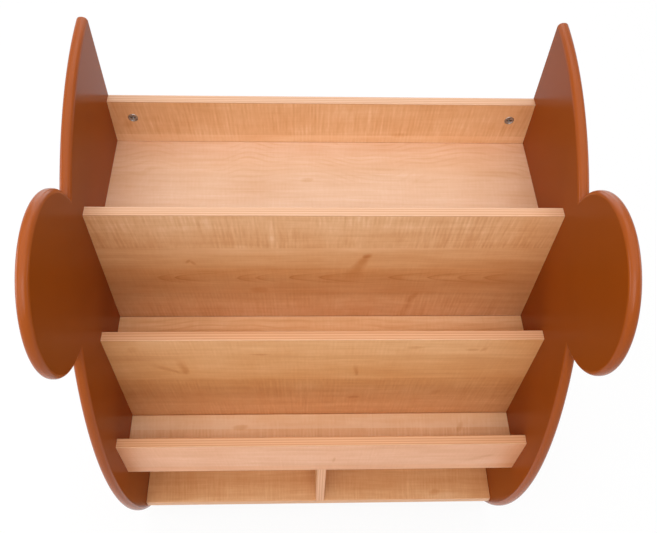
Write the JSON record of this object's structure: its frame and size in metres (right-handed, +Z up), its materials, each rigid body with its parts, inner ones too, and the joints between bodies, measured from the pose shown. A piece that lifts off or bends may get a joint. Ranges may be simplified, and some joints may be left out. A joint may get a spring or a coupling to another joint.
{
  "type": "kids bookcase",
  "caption": "Free-standing children's bookcase: rounded side panels with a lobe at the front carry stepped book trays above open cubbies.",
  "frame": {"origin": "on the floor, midway across the width and the depth of the whole bookcase", "axes": "+Z up, +Y towards the back, so the trays face -Y, and +X to the right as seen from the front"},
  "size_m": [0.696, 0.49, 0.829],
  "materials": {
    "side_lacquer": "satin terracotta lacquer over 16 mm fibreboard",
    "maple_laminate": "maple-grain laminate on 16 mm chipboard, with matching edge band",
    "zinc_fitting": "die-cast zinc",
    "steel_fastener": "zinc-plated steel",
    "beech_dowel": "raw beech"
  },
  "bodies": {
    "root": {"back_rail": "maple_laminate", "back_rail_bolt_left": "steel_fastener", "back_rail_bolt_right": "steel_fastener", "back_rail_cam_left": "zinc_fitting", "back_rail_cam_right": "zinc_fitting", "back_rail_dowel_left": "beech_dowel", "back_rail_dowel_right": "beech_dowel", "bottom_shelf": "maple_laminate", "bottom_shelf_bolt_left": "steel_fastener", "bottom_shelf_bolt_right": "steel_fastener", "bottom_shelf_cam_left": "zinc_fitting", "bottom_shelf_cam_right": "zinc_fitting", "bottom_shelf_dowel_left": "beech_dowel", "bottom_shelf_dowel_right": "beech_dowel", "cubby_divider": "maple_laminate", "cubby_divider_back_dowel": "beech_dowel", "cubby_divider_back_screw": "steel_fastener", "cubby_divider_front_dowel": "beech_dowel", "cubby_divider_front_screw": "steel_fastener", "front_lip": "maple_laminate", "front_lip_bolt_left": "steel_fastener", "front_lip_bolt_right": "steel_fastener", "front_lip_cam_left": "zinc_fitting", "front_lip_cam_right": "zinc_fitting", "front_lip_dowel_left": "beech_dowel", "front_lip_dowel_right": "beech_dowel", "left_side_panel": "side_lacquer", "lower_display_board": "maple_laminate", "lower_display_board_bolt_left": "steel_fastener", "lower_display_board_bolt_right": "steel_fastener", "lower_display_board_cam_left": "zinc_fitting", "lower_display_board_cam_right": "zinc_fitting", "lower_display_board_dowel_left": "beech_dowel", "lower_display_board_dowel_right": "beech_dowel", "lower_shelf": "maple_laminate", "lower_shelf_back_dowel_left": "beech_dowel", "lower_shelf_back_dowel_right": "beech_dowel", "lower_shelf_front_dowel_left": "beech_dowel", "lower_shelf_front_dowel_right": "beech_dowel", "middle_shelf": "maple_laminate", "middle_shelf_back_dowel_left": "beech_dowel", "middle_shelf_back_dowel_right": "beech_dowel", "middle_shelf_front_dowel_left": "beech_dowel", "middle_shelf_front_dowel_right": "beech_dowel", "right_side_panel": "side_lacquer", "top_shelf": "maple_laminate", "top_shelf_bolt_left": "steel_fastener", "top_shelf_bolt_right": "steel_fastener", "top_shelf_cam_left": "zinc_fitting", "top_shelf_cam_right": "zinc_fitting", "top_shelf_dowel_left": "beech_dowel", "top_shelf_dowel_right": "beech_dowel", "upper_display_board": "maple_laminate", "upper_display_board_bolt_left": "steel_fastener", "upper_display_board_bolt_right": "steel_fastener", "upper_display_board_cam_left": "zinc_fitting", "upper_display_board_cam_right": "zinc_fitting", "upper_display_board_dowel_left": "beech_dowel", "upper_display_board_dowel_right": "beech_dowel"}
  },
  "joints": []
}
